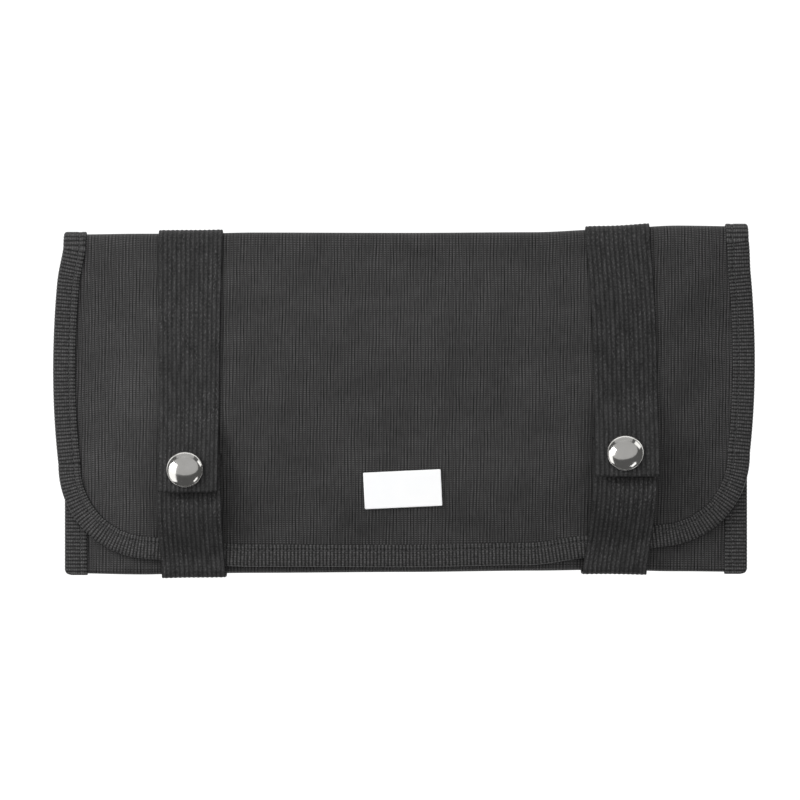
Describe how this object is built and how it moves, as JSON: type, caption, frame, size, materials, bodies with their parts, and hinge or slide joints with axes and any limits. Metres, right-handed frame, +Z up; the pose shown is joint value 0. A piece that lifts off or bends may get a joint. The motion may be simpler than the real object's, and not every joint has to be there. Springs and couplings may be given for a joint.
{
  "type": "scissor pouch",
  "caption": "Folded black nylon scissor pouch lying on its back, its round-cornered flap held shut by elastic straps that go round it and close with snap fasteners, with a plain metal plate.",
  "frame": {"origin": "under the middle of the pouch, on the surface that it lies on", "axes": "+X to the right across the pouch, +Y from the bottom fold to the top fold, +Z up out of the flap"},
  "size_m": [0.2814, 0.1426, 0.0313],
  "materials": {
    "nylon": "woven nylon, matt",
    "binding_tape": "ribbed nylon tape",
    "elastic": "ribbed elastic webbing",
    "nickel": "polished nickel plating",
    "plate_metal": "satin, plain"
  },
  "bodies": {
    "root": {"shell": "nylon", "edge_binding": "binding_tape", "strap_left": "elastic", "strap_right": "elastic", "snap_rivet_left": "nickel", "snap_stud_left": "nickel", "snap_socket_left": "nickel", "snap_cap_left": "nickel", "snap_rivet_right": "nickel", "snap_stud_right": "nickel", "snap_socket_right": "nickel", "snap_cap_right": "nickel", "name_plate": "plate_metal"}
  },
  "joints": []
}
